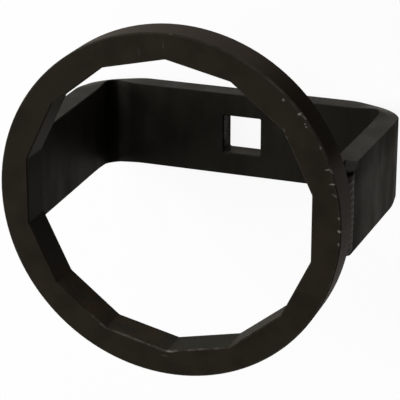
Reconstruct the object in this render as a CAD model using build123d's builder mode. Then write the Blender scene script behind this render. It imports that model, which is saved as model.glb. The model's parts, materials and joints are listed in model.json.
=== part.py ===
import os
from math import cos, pi, radians, sin, sqrt, tan

from build123d import *

# Oil filter cap wrench: a thick ring with fourteen flats, carried by a flat bar bent into a U.
# Frame: millimetres, +Z up from the bar's outer face to the ring's front face.
# The origin is the centre of the drive's square hole, on the bar's outer face.

# Ring plate. Its rim stands a ledge further out than the ends of the legs, and it was welded on
# with its centre a little to one side of the drive's axis.
flat_count = 14
across_flats = 135.0
rim_ledge = 1.5
ring_offset = 1.7
ring_thickness = 16.5
flat_corner_radius = 2.5
opening_edge_break = 0.5
rim_edge_break = 0.6

# Bent bar
overall_height = 118.5
strap_width = 42.0
strap_thickness = 11.0
bend_inner_radius = 6.0
leg_splay = 1.7
leg_flat_clearance = 1.0
strap_edge_break = 0.35

# Each sharp bend makes the bar thinner, swells its edges out inside and draws them in outside. The
# change is full at the middle of the bend and has died away at this reach along the bar.
bend_reach = 22.0
bend_thinning = 2.1
bend_swell = 1.2
bend_draw_in = 1.6
bend_section_count = 21

# Square hole for the drive
drive_square = 19.2
drive_corner_radius = 0.8
drive_edge_break = 0.6

# Hollow ground into the corner of the right leg, beside the start of its weld
hollow_depth = 2.5
hollow_radius = 11.0
hollow_length = 6.0
hollow_below_ring = 11.0

# Welds between the ends of the legs and the back of the ring
weld_root_land = 4.0
weld_prep_height = 10.5
weld_start_gap = 3.5
weld_end_gap = 2.5
weld_rim_margin = 0.2
weld_leg_overlap = 2.0
weld_ripple_pitch = 3.0
weld_crown = 0.8
weld_valley = 0.5
weld_scallop = 0.25

# Sizes that follow from those above
ring_back = overall_height - ring_thickness
flat_corner_distance = across_flats / 2 / cos(radians(180 / flat_count))
splay_slope = tan(radians(leg_splay))
leg_thickness_along_x = strap_thickness / cos(radians(leg_splay))
leg_end_inner_x = across_flats / 2 + leg_flat_clearance
ring_outer_radius = leg_end_inner_x + leg_thickness_along_x + rim_ledge
weld_root_x = leg_end_inner_x + weld_root_land
weld_start_y = strap_width / 2 - weld_start_gap
weld_length = strap_width - weld_start_gap - weld_end_gap


def leg_inner_x(z):
    """Distance from the axis to a leg's inner face at height z."""
    return leg_end_inner_x + (ring_back - z) * splay_slope


def leg_outer_x(z):
    """Distance from the axis to a leg's outer face at height z."""
    return leg_inner_x(z) + leg_thickness_along_x


def ring_back_edge_x(side, y):
    """Distance from the drive's axis to the edge of the ring's flat back, y across the bar."""
    return side * ring_offset + sqrt((ring_outer_radius - rim_edge_break) ** 2 - y**2)


# Ring plate: cut from thick plate, turned round outside, with a flat facing each leg
with BuildPart() as ring_plate:
    with BuildSketch(Plane(origin=(ring_offset, 0, ring_back))) as ring_outline:
        Circle(ring_outer_radius)
        with BuildSketch(mode=Mode.PRIVATE) as opening:
            RegularPolygon(flat_corner_distance, flat_count, rotation=180 / flat_count)
            fillet(opening.vertices(), flat_corner_radius)
        add(opening.sketch, mode=Mode.SUBTRACT)
    extrude(amount=ring_thickness)
    rim_edges = ring_plate.edges().filter_by(GeomType.CIRCLE).group_by(SortBy.RADIUS)[-1]
    chamfer(rim_edges, rim_edge_break)
    front_face = ring_plate.faces().sort_by(Axis.Z)[-1]
    chamfer(front_face.inner_wires()[0].edges(), opening_edge_break)
    back_face = ring_plate.faces().sort_by(Axis.Z)[0]
    chamfer(back_face.inner_wires()[0].edges(), opening_edge_break)
ring_plate.part.label = "ring_plate"

bend_centre_z = strap_thickness + bend_inner_radius
bend_centre_x = leg_inner_x(bend_centre_z) - bend_inner_radius / cos(radians(leg_splay))
bend_middle_radius = bend_inner_radius + strap_thickness / 2
bend_half_turn = radians(90 + leg_splay) / 2


def bar_section(station):
    """The bar's cross-section, at a distance along its middle line from the middle of the bend."""
    turn = max(-bend_half_turn, min(bend_half_turn, station / bend_middle_radius))
    straight_run = station - turn * bend_middle_radius
    angle = radians(leg_splay) - bend_half_turn + turn
    outwards = Vector(cos(angle), 0, sin(angle))
    along = Vector(-sin(angle), 0, cos(angle))
    middle = Vector(bend_centre_x, 0, bend_centre_z) + outwards * bend_middle_radius
    change = (1 + cos(pi * min(1, abs(station) / bend_reach))) / 2
    inner_face = -strap_thickness / 2
    outer_face = strap_thickness / 2 - bend_thinning * change
    inner_half_width = strap_width / 2 + bend_swell * change
    outer_half_width = strap_width / 2 - bend_draw_in * change
    with BuildSketch(Plane(middle + along * straight_run, outwards, along)) as section:
        with BuildLine():
            Polyline(
                (inner_face, -inner_half_width),
                (outer_face, -outer_half_width),
                (outer_face, outer_half_width),
                (inner_face, inner_half_width),
                close=True,
            )
        make_face()
        chamfer(section.vertices(), strap_edge_break)
    return section.sketch


# Drive strap: one flat bar, bent twice, with a bevel on the outside of each end for the weld
with BuildPart() as drive_strap:
    # Bend, from where the flat bar begins to change to where the leg is full again
    spacing = 2 * bend_reach / (bend_section_count - 1)
    stations = [step * spacing - bend_reach for step in range(bend_section_count)]
    bend_sections = [bar_section(station) for station in stations]
    loft(bend_sections)

    # Right half of the flat middle
    flat_half_length = bend_sections[0].face().center().X
    extrude(bend_sections[0], amount=flat_half_length, dir=(-1, 0, 0))

    # Leg, sawn off level where it meets the ring
    extrude(bend_sections[-1], amount=overall_height)
    split(bisect_by=Plane.XY.offset(ring_back), keep=Keep.BOTTOM)

    # Weld preparation: the outer corner of the leg's end is bevelled down to a root land
    bevel_foot = ring_back - weld_prep_height
    with BuildSketch(Plane.XZ) as bevel:
        with BuildLine():
            Polyline(
                (weld_root_x, ring_back),
                (leg_outer_x(bevel_foot), bevel_foot),
                (leg_outer_x(bevel_foot) + strap_thickness, bevel_foot),
                (leg_outer_x(bevel_foot) + strap_thickness, ring_back),
                close=True,
            )
        make_face()
    extrude(amount=strap_width, both=True, mode=Mode.SUBTRACT)
    mirror(about=Plane.YZ)

    # The ground hollow runs in from the right leg's outer face, across the corner of its edge
    hollow_z = ring_back - hollow_below_ring
    hollow_y = strap_width / 2 - hollow_depth + hollow_radius
    hollow_x = leg_outer_x(hollow_z) - hollow_length
    with BuildSketch(Plane.YZ.offset(hollow_x)) as hollow:
        with Locations((hollow_y, hollow_z)):
            Circle(hollow_radius)
    extrude(amount=hollow_length + strap_thickness, mode=Mode.SUBTRACT)

    # Square drive hole, broached through the middle of the bar
    with BuildSketch(Plane.XY) as drive_hole:
        RectangleRounded(drive_square, drive_square, drive_corner_radius)
    extrude(amount=strap_thickness, mode=Mode.SUBTRACT)
    pierced_faces = drive_strap.faces().filter_by(lambda face: len(face.inner_wires()) > 0)
    for pierced_face in pierced_faces:
        chamfer(pierced_face.inner_wires()[0].edges(), drive_edge_break)
drive_strap.part.label = "drive_strap"


def weld_section(side, y, crown, spread):
    """One cross-section of a bead: root, toe on the ring, crown, toe on the leg, bevel's foot."""
    toe_x = ring_back_edge_x(side, y) - weld_rim_margin + spread
    leg_toe = bevel_foot - weld_leg_overlap - spread
    crest_z = (ring_back + leg_toe) / 2
    # The bead stands proud of whichever is further out: the line between its toes, or the leg
    crest_x = max((toe_x + leg_outer_x(leg_toe)) / 2, leg_outer_x(crest_z)) + crown
    with BuildSketch(Plane.XZ.offset(-y)) as section:
        with BuildLine():
            Line((side * weld_root_x, ring_back), (side * toe_x, ring_back))
            ThreePointArc(
                (side * toe_x, ring_back),
                (side * crest_x, crest_z),
                (side * leg_outer_x(leg_toe), leg_toe),
            )
            Polyline(
                (side * leg_outer_x(leg_toe), leg_toe),
                (side * leg_outer_x(bevel_foot), bevel_foot),
                (side * weld_root_x, ring_back),
            )
        make_face()
    return section.sketch


# Weld beads: filler metal laid in the bevels, in ripples from one edge of the bar to the other
ripple_count = max(1, round(weld_length / weld_ripple_pitch))
half_ripple = weld_length / ripple_count / 2
weld_beads = {}
for name, side in (("weld_bead_left", -1), ("weld_bead_right", 1)):
    sections = []
    for step in range(2 * ripple_count + 1):
        y = weld_start_y - step * half_ripple
        if step % 2:
            sections.append(weld_section(side, y, weld_crown, 0))
        else:
            sections.append(weld_section(side, y, weld_valley, -weld_scallop))
    with BuildPart() as weld_bead:
        loft(sections, ruled=True)
    weld_bead.part.label = name
    weld_beads[name] = weld_bead

os.makedirs("parts", exist_ok=True)
export_step(ring_plate.part, "parts/ring_plate.step")
export_step(drive_strap.part, "parts/drive_strap.step")
for name, weld_bead in weld_beads.items():
    export_step(weld_bead.part, f"parts/{name}.step")
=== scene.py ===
import json
import math

import bmesh
import bpy
from mathutils import Euler, Matrix, Vector


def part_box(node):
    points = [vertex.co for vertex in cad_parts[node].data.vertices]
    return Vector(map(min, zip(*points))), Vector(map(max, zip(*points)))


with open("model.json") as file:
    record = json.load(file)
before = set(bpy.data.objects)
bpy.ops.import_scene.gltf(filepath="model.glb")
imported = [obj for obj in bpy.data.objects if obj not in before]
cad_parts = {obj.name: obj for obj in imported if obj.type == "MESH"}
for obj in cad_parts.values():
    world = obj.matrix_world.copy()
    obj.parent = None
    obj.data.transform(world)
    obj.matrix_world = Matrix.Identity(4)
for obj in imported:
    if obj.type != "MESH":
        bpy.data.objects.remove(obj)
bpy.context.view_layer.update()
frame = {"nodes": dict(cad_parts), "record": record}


# Ring plate: a thick steel ring, turned outside and milled to fourteen flats inside, under a thin
# brown-black oxide. Handling has rubbed its edges and knocked small nicks into its front, one side
# of the rim is darkened with painted shade, and a few of the flats are a little rusty.


class Shade:
    """An output socket of a material's nodes. Sums written with shades add Math nodes."""

    def __init__(self, tree, socket=None):
        self.tree = tree
        self.socket = socket

    def node(self, kind, inputs, output=0, **settings):
        """Add a node: its settings first, then the values or links of its sockets."""
        made = self.tree.nodes.new("ShaderNode" + kind)
        for name, value in settings.items():
            setattr(made, name, value)
        connect(made, inputs)
        return Shade(self.tree, made.outputs[output])

    def maths(self, operation, *others):
        """A Math node's result for this value and the others."""
        values = dict(enumerate((self, *others)))
        return self.node("Math", values, operation=operation)

    def __add__(self, other):
        return self.maths("ADD", other)

    def __sub__(self, other):
        return self.maths("SUBTRACT", other)

    def __mul__(self, other):
        return self.maths("MULTIPLY", other)

    def __rsub__(self, other):
        return self.node("Math", {0: other, 1: self}, operation="SUBTRACT")

    def __neg__(self):
        return self.maths("MULTIPLY", -1)

    __radd__ = __add__
    __rmul__ = __mul__

    def axis(self, name):
        """The X, Y or Z of a place or a direction."""
        return self.node("SeparateXYZ", {0: self}, output=name)

    def rise(self, start, end):
        """0 below start and 1 past end, smoothly in between; a start above the end falls."""
        if start > end:
            return 1 - self.rise(end, start)
        mapped = {"Value": self, "From Min": start, "From Max": end}
        return self.node("MapRange", mapped, interpolation_type="SMOOTHSTEP")

    def between(self, start, full, fading, end):
        """1 from full to fading and 0 outside start and end, smoothly in between."""
        return self.rise(start, full) * self.rise(end, fading)

    def blend(self, first, second):
        """The first colour where this mask is 0, and the second where it is 1."""
        return self.node("Mix", {0: self, 6: first, 7: second}, output=2, data_type="RGBA")


def connect(made, sockets):
    """Link or set the sockets of a node."""
    for name, value in sockets.items():
        if isinstance(value, Shade):
            made.id_data.links.new(value.socket, made.inputs[name])
        else:
            made.inputs[name].default_value = value


def steel_material(name, node):
    """A new material on a CAD node: its Principled shader and the point's place in metres."""
    material = bpy.data.materials.new(name)
    material.use_nodes = True
    slots = frame["nodes"][node].data.materials
    slots.clear()
    slots.append(material)
    place = Shade(material.node_tree).node("TexCoord", {}, output="Object")
    return material.node_tree.nodes["Principled BSDF"], place


def noise(place, waves, detail=3.0, roughness=0.55, stretch=(1, 1, 1)):
    """Noise of that many waves a metre, stretched along the axes where a stretch is under 1."""
    spot = place.node("Mapping", {0: place, "Scale": stretch})
    settings = {"Vector": spot, "Scale": waves, "Detail": detail, "Roughness": roughness}
    return place.node("TexNoise", settings)


oxide_gloss = 0.018
relief_strength = 0.5


def oxidise(shader, colour, roughness, height, metallic=0.0):
    """Give steel the looks of a thin oxide: its gloss is weak, and its height is in metres."""
    looks = {
        "Base Color": colour,
        "Roughness": roughness,
        "Metallic": metallic,
        "Specular IOR Level": oxide_gloss,
        "Normal": height.node("Bump", {"Strength": relief_strength, "Distance": 1.0, "Height": height}),
    }
    connect(shader, looks)


mounts = {mount["name"]: mount["pos_m"] for mount in frame["record"]["mounts"]}
ring_centre = Vector(mounts["cap_socket"])
ring_low, ring_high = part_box("ring_plate")
ring_radius = (ring_high.y - ring_low.y) / 2
plate_middle = 0.075
flat_count = 14
flat_distance = 0.0675

# Colours of the finish, as linear red, green and blue
ring_dark = (0.0142, 0.0114, 0.0078, 1)
ring_brown = (0.0202, 0.0156, 0.0108, 1)
ring_olive = (0.0168, 0.0148, 0.0104, 1)
rubbed_oxide = (0.085, 0.076, 0.066, 1)
bare_steel = (0.240, 0.225, 0.205, 1)
rust_tint = (0.060, 0.034, 0.018, 1)
rim_brown = (0.0350, 0.0255, 0.0200, 1)
flat_olive = (0.0265, 0.0250, 0.0195, 1)
rim_shade_brown = (0.0115, 0.0088, 0.0050, 1)

# Arcs of the ring in degrees: where each mark starts, is full, begins to fade and ends
worn_arc = (-128, -120, -80, -50)
rusty_arc = (-158, -144, -106, -88)
# The arc of painted shade on the rim
shaded_rim_arc = (17, 27, 42, 66)

ring_shader, place = steel_material("ring oxide", "ring_plate")
from_centre = place.node("VectorMath", {0: place, 1: ring_centre}, operation="SUBTRACT")
along, across, above = [from_centre.axis(name) for name in "XYZ"]
depth = -above
radius = (along * along + across * across).maths("SQRT")
angle = across.maths("ARCTAN2", along)
bearing = angle.maths("DEGREES")

# The distance from the axis measured square to the nearest flat, which is constant along a flat
flat_turn = 2 * math.pi / flat_count
within_flat = (angle + flat_turn / 2).maths("FLOORED_MODULO", flat_turn) - flat_turn / 2
to_flat = radius * within_flat.maths("COSINE")

mottle = noise(place, waves=75, detail=4)
mottled = mottle.rise(0.34, 0.66)
tint = noise(place, waves=38, detail=2)
grain = noise(place, waves=1500, roughness=0.6)
patchy = noise(place, waves=260, detail=4).rise(0.38, 0.6)

# Edges rubbed by handling: the rim's front edge, most on the right, and the opening's front edge,
# most along its worn arc. A rub reaches so far over the front, and so deep down the wall.
rub_reach = 0.0010
rub_depth = 0.0013
on_front = depth.rise(rub_depth, 0.0001)
rim_edge = radius.rise(ring_radius - rub_reach, ring_radius - 0.0004) * on_front
opening_edge = to_flat.rise(flat_distance + rub_reach, flat_distance + 0.0003) * on_front
on_right = along.rise(0.0, 0.075)
rubbed = rim_edge * (0.12 + 0.42 * on_right) * (0.5 + 0.5 * patchy)
rubbed = rubbed + opening_edge * (0.06 + 0.7 * bearing.between(*worn_arc)) * (0.15 + 0.85 * patchy)

# Nicks knocked into the front, in millimetres and degrees: radius and angle, length and width,
# turn of the long side from the way round the ring, and how bright the bare metal shows
nicks = [
    (80.3, 40.1, 2.2, 1.1, 74, 0.80),
    (80.9, 38.3, 3.2, 0.7, 11, 0.65),
    (79.5, 36.7, 1.1, 0.8, 0, 0.42),
    (79.2, 35.7, 1.0, 0.8, 0, 0.38),
    (78.6, 46.6, 1.3, 1.2, 0, 0.40),
    (80.5, 51.8, 10.5, 0.8, 1, 0.08),
    (69.7, 38.6, 2.2, 1.0, -30, 0.14),
    (68.7, 36.1, 1.7, 0.9, -7, 0.22),
    (80.3, 28.0, 1.6, 0.9, -10, 0.36),
    (79.5, 20.8, 2.8, 0.7, 83, 0.42),
    (80.7, 19.9, 2.5, 0.8, 12, 0.65),
    (79.7, 15.9, 3.4, 0.8, 79, 0.50),
    (79.5, 12.2, 3.0, 1.0, 47, 0.20),
    (80.1, 4.8, 1.4, 1.2, 0, 0.38),
    (80.4, 0.4, 2.3, 1.3, 67, 0.66),
    (80.2, -3.8, 1.6, 1.2, 0, 0.40),
    (75.8, 90.5, 4.2, 0.35, 90, 0.14),
    (72.5, 99.4, 4.0, 0.35, 88, 0.10),
    (81.0, 88.1, 1.6, 0.6, 0, 0.18),
    (69.3, -88.9, 3.6, 0.8, 0, 0.40),
    (71.8, -90.9, 3.4, 0.6, -3, 0.14),
    (68.0, -108.7, 12.0, 0.6, 6, 0.12),
    (67.2, -53.8, 3.4, 0.9, 5, 0.30),
]
nick_shine = 0.9
nick_depth = 0.0012
ragged = (noise(place, waves=900, detail=2) - 0.5) * 0.9
struck = None
for nick_radius, degrees, length, width, turn, bright in nicks:
    nick_angle = math.radians(degrees)
    nick_turn = math.radians(degrees + 90 + turn)
    aside = along - nick_radius / 1000 * math.cos(nick_angle)
    beyond = across - nick_radius / 1000 * math.sin(nick_angle)
    # Each is 1 where the nick ends, which is half its length or width from its middle
    lengthwise = (aside * math.cos(nick_turn) + beyond * math.sin(nick_turn)) * (2000 / length)
    sideways = (beyond * math.cos(nick_turn) - aside * math.sin(nick_turn)) * (2000 / width)
    reach = (lengthwise * lengthwise + sideways * sideways).maths("SQRT") + ragged
    nick = reach.rise(1.35, 0.35) * (bright * nick_shine)
    struck = nick if struck is None else struck.maths("MAXIMUM", nick)
struck = struck * depth.rise(nick_depth, nick_depth / 2)

# A breath of rust on the flats of one arc, in from their front edge
rust_radius = 0.0705
rusty = bearing.between(*rusty_arc) * radius.rise(rust_radius, rust_radius - 0.0015)
rusty = rusty * depth.rise(0.0004, 0.0010) * mottle.rise(0.3, 0.66) * 0.5

# Painted shade on the rim of one arc, from just below its front edge
painted_rim_shade = bearing.between(*shaded_rim_arc) * depth.rise(0.0004, 0.0020)
painted_rim_shade = painted_rim_shade * radius.rise(ring_radius - 0.002, ring_radius - 0.001)

# The front is mottled, and the machined walls below it are paler: brown outside and olive inside
below_front = depth.rise(0.0005, 0.0009)
machined = radius.rise(plate_middle - 0.001, plate_middle + 0.001).blend(flat_olive, rim_brown)
oxide = mottled.blend(ring_dark, ring_brown)
oxide = (tint.rise(0.42, 0.64) * 0.7).blend(oxide, ring_olive)
oxide = (below_front * (0.7 + mottled * 0.3)).blend(oxide, machined)
# Painted shade darkens one arc of the rim
oxide = painted_rim_shade.blend(oxide, rim_shade_brown)
oxide = rusty.blend(oxide, rust_tint)
oxide = rubbed.blend(oxide, rubbed_oxide)
oxidise(
    ring_shader,
    colour=struck.blend(oxide, bare_steel),
    roughness=0.44 + mottle * 0.12 + grain * 0.06 - rubbed * 0.05 - struck * 0.1 + painted_rim_shade * 0.22,
    height=grain * 0.00005 + mottle * 0.00008 - struck * 0.00012,
    metallic=struck * 0.6,
)


# Drive strap: one hot rolled flat bar, bent into a U and pierced for the square drive. Its mill scale
# is grey-black and streaked across the bar. Its sheared edges are paler, and its outer faces are
# painted paler, partly as painted light and partly as handling wear.
strap_scale = (0.0120, 0.0112, 0.0086, 1)
strap_black_and_shade = (0.0040, 0.0032, 0.0026, 1)
strap_lip_highlight = (0.075, 0.069, 0.063, 1)
# The colour of the painted shade inside the U
strap_painted_shade = (0.0075, 0.0068, 0.0052, 1)
strap_pale = (0.0180, 0.0168, 0.0132, 1)
strap_highlight_and_wear = (0.036, 0.033, 0.027, 1)
strap_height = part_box("drive_strap")[1].z
leg_middle = 0.0740
leg_lean = math.tan(math.radians(1.7))

# Places on the bar in metres: where each mark starts and is full, and begins to fade and ends
# The span of the painted highlight inside the left bend
bend_highlight_span = (-0.0668, -0.0657, -0.0640, -0.0580)
torn_wall = (-0.0106, -0.0101, -0.0093, -0.0088)
torn_width = (0.0106, 0.0100)
hollow_reach = (0.0735, 0.0750)
hollow_width = (0.0170, 0.0185, 0.0208, 0.0211)
lip_highlight_height = (0.0815, 0.0840, 0.0885, 0.0910)
weld_gap_shade_height = (0.0890, 0.0915)

strap_shader, place = steel_material("strap scale", "drive_strap")
along, across, up = [place.axis(name) for name in "XYZ"]

# The bar's faces: its two sheared edges, the outer faces of the U and the inner ones
facing = place.node("TexCoord", {}, output="Normal")
edge_face = facing.axis("Y").maths("ABSOLUTE").rise(0.6, 0.9)
from_leg = along.maths("ABSOLUTE") - leg_middle - (strap_height - up) * leg_lean
outside = from_leg.rise(-0.003, 0.003).maths("MAXIMUM", up.rise(0.0070, 0.0040))
outer_face = outside * (1 - edge_face)
inner_face = (1 - outside) * (1 - edge_face)

rolled = noise(place, waves=85, roughness=0.5, stretch=(1, 0.2, 1))
mottle = noise(place, waves=110, detail=4, stretch=(1, 0.5, 1))
grain = noise(place, waves=1500, roughness=0.6)
sheared = noise(place, waves=600, roughness=0.6, stretch=(0.15, 1, 0.15))
# The outer faces are painted paler, partly as painted light and partly as handling wear, and the
# sheared edges are paler too
painted_light_and_wear = outside * (0.25 + rolled.rise(0.38, 0.62) * 0.5) * up.rise(0.004, 0.03)
painted_light_and_wear = painted_light_and_wear.maths("MAXIMUM", edge_face * (0.42 + sheared * 0.4))

# Painted shade darkens the scale inside the U towards the right leg, and a painted highlight lies
# inside the left bend
scale = (rolled * 0.5 + mottle * 0.5).rise(0.36, 0.64).blend(strap_scale, strap_pale)
scale = (along.rise(0.015, 0.060) * inner_face * 0.8).blend(scale, strap_painted_shade)
scale = (along.between(*bend_highlight_span) * inner_face * 0.8).blend(scale, strap_highlight_and_wear)

# One broached wall of the square hole is torn
torn = along.between(*torn_wall) * across.maths("ABSOLUTE").rise(*torn_width)
torn = torn * noise(place, waves=800, roughness=0.6).rise(0.48, 0.62)
scale = torn.blend(scale, strap_black_and_shade)

# The hollow ground beside the right weld has a painted highlight on its lip, and painted shade where
# the weld starts
hollow = along.rise(*hollow_reach) * across.between(*hollow_width)
lip_highlight = hollow * up.between(*lip_highlight_height)
# Painted shade where the weld starts, in the dark gap by the ring
weld_gap_shade = hollow * up.rise(*weld_gap_shade_height)
scale = weld_gap_shade.blend(lip_highlight.blend(scale, strap_lip_highlight), strap_black_and_shade)

# The outer faces are dull at the foot and the top of the legs and along one side
dull = outer_face * (up.rise(0.050, 0.015) + up.rise(0.064, 0.086) + across.rise(0.006, 0.019)) * 0.12
dull = dull + torn * 0.3 + weld_gap_shade * 0.3
streaks = (rolled * 0.6 + mottle * 0.4).rise(0.36, 0.64)
oxidise(
    strap_shader,
    colour=painted_light_and_wear.blend(scale, strap_highlight_and_wear),
    roughness=0.40 + streaks * 0.14 + grain * 0.06 + dull - edge_face * 0.05,
    height=grain * 0.00006 + rolled * 0.00006,
)


# Weld beads: filler metal laid between the ends of the legs and the back of the ring, in ripples,
# then oxidised with the rest. It has brighter spatter, and painted shade at one end.
weld_end_shade = (0.008, 0.006, 0.005, 1)
weld_metal = (0.046, 0.042, 0.038, 1)
weld_spatter = (0.082, 0.075, 0.068, 1)
shaded_end_span = (0.0155, 0.0168)

for bead in ("weld_bead_left", "weld_bead_right"):
    weld_shader, place = steel_material(bead.replace("_", " "), bead)
    # Painted shade on the bead's end
    shaded_end = place.axis("Y").rise(*shaded_end_span)
    spatter = noise(place, waves=320, roughness=0.5, stretch=(1, 0.3, 1))
    metal = spatter.rise(0.4, 0.7).blend(weld_metal, weld_spatter)
    oxidise(
        weld_shader,
        colour=shaded_end.blend(metal, weld_end_shade),
        roughness=0.42 + spatter * 0.16,
        height=noise(place, waves=1200, roughness=0.6) * 0.0001,
    )


# Floor: a pale sheet of paper that the wrench stands on. The camera, gloss and glass see it white,
# apart from the wrench's shadow, and it throws little light back onto the steel.
floor_size = 6.0
floor_drop = 0.0002
floor_white = 0.92
paper_seen = (0.9, 0.9, 0.9, 1)
paper_grey = (0.3, 0.3, 0.3, 1)
white = (1, 1, 1, 1)
gloss_white = (1, 0.965, 0.89, 1)


def rays(tree):
    """Masks of the rays that leave the camera, bounce off gloss and pass through glass."""
    kinds = ("Camera", "Glossy", "Transmission")
    return [Shade(tree).node("LightPath", {}, output=f"Is {kind} Ray") for kind in kinds]


floor_mesh = bpy.data.meshes.new("floor")
sheet = bmesh.new()
bmesh.ops.create_grid(sheet, x_segments=1, y_segments=1, size=floor_size / 2)
bmesh.ops.translate(sheet, verts=sheet.verts, vec=(0, 0, -floor_drop))
sheet.to_mesh(floor_mesh)
sheet.free()
floor = bpy.data.objects.new("floor", floor_mesh)
bpy.context.scene.collection.objects.link(floor)
floor_material = bpy.data.materials.new("pale floor")
floor_material.use_nodes = True
floor_mesh.materials.append(floor_material)
tree = floor_material.node_tree
tree.nodes.remove(tree.nodes["Principled BSDF"])
seen, shiny, through = rays(tree)
paper = seen.node("BsdfDiffuse", {"Color": seen.blend(paper_grey, paper_seen)})
glow = shiny.node("Emission", {"Color": shiny.blend(white, gloss_white), "Strength": 1.0})
share = (seen + shiny + through).rise(0, 1) * floor_white
mixed = share.node("MixShader", {0: share, 1: paper, 2: glow})
connect(tree.nodes["Material Output"], {"Surface": mixed})


# Studio: a dark room whose pale horizon lights nothing but shows in gloss, white to the camera. It
# has one broad lamp high at the left, a small one behind at the left and a weak one in front.
ceiling_grey = (0.1, 0.1, 0.1, 1)
unlit = (0, 0, 0, 1)

world = bpy.data.worlds.new("studio")
world.use_nodes = True
bpy.context.scene.world = world
tree = world.node_tree
seen, shiny, through = rays(tree)
overhead = seen.node("TexCoord", {}, output="Generated").axis("Z").rise(0.0, 0.4)
walls = overhead.blend(gloss_white, ceiling_grey)
behind = seen.blend((shiny + through).rise(0, 1).blend(unlit, walls), white)
connect(tree.nodes["Background"], {"Color": behind, "Strength": 1.0})


def softbox(name, place, target, size, watts):
    """A round area lamp at a place, facing the target, both in metres."""
    lamp = bpy.data.lights.new(name, "AREA")
    lamp.shape = "DISK"
    lamp.size = size
    lamp.energy = watts
    holder = bpy.data.objects.new(name, lamp)
    facing = (Vector(target) - Vector(place)).to_track_quat("-Z", "Y")
    holder.matrix_world = Matrix.LocRotScale(place, facing, None)
    bpy.context.scene.collection.objects.link(holder)


wrench_middle = (0, 0, 0.06)
softbox("high left lamp", (-1.4, 0.1, 2.2), wrench_middle, size=1.4, watts=50)
softbox("back lamp", (-0.66, 1.14, 0.54), wrench_middle, size=0.8, watts=12)
softbox("front lamp", (-0.3, -0.9, 1.0), wrench_middle, size=0.8, watts=3)


# Camera: at the photograph's viewpoint, worked out from the ring's two rims, the bar's edges and
# the square hole. Its focal length and optical centre are in pixels of the photograph.
photo_width = 400
focal_pixels = 1827.1
optical_centre = (206.26, 189.64)
camera_place = Vector((0.28070, 0.29305, 0.82151))
camera_turn = Euler([math.radians(degrees) for degrees in (-20.542, 20.292, 0.034)])

camera = bpy.data.cameras.new("camera")
camera.sensor_width = 36
camera.lens = focal_pixels / photo_width * camera.sensor_width
camera.shift_x = (photo_width / 2 - optical_centre[0]) / photo_width
camera.shift_y = (optical_centre[1] - photo_width / 2) / photo_width
camera.clip_start = 0.01
viewer = bpy.data.objects.new("camera", camera)
viewer.matrix_world = Matrix.LocRotScale(camera_place, camera_turn, None)
bpy.context.scene.collection.objects.link(viewer)
bpy.context.scene.camera = viewer
bpy.context.scene.view_settings.view_transform = "Standard"
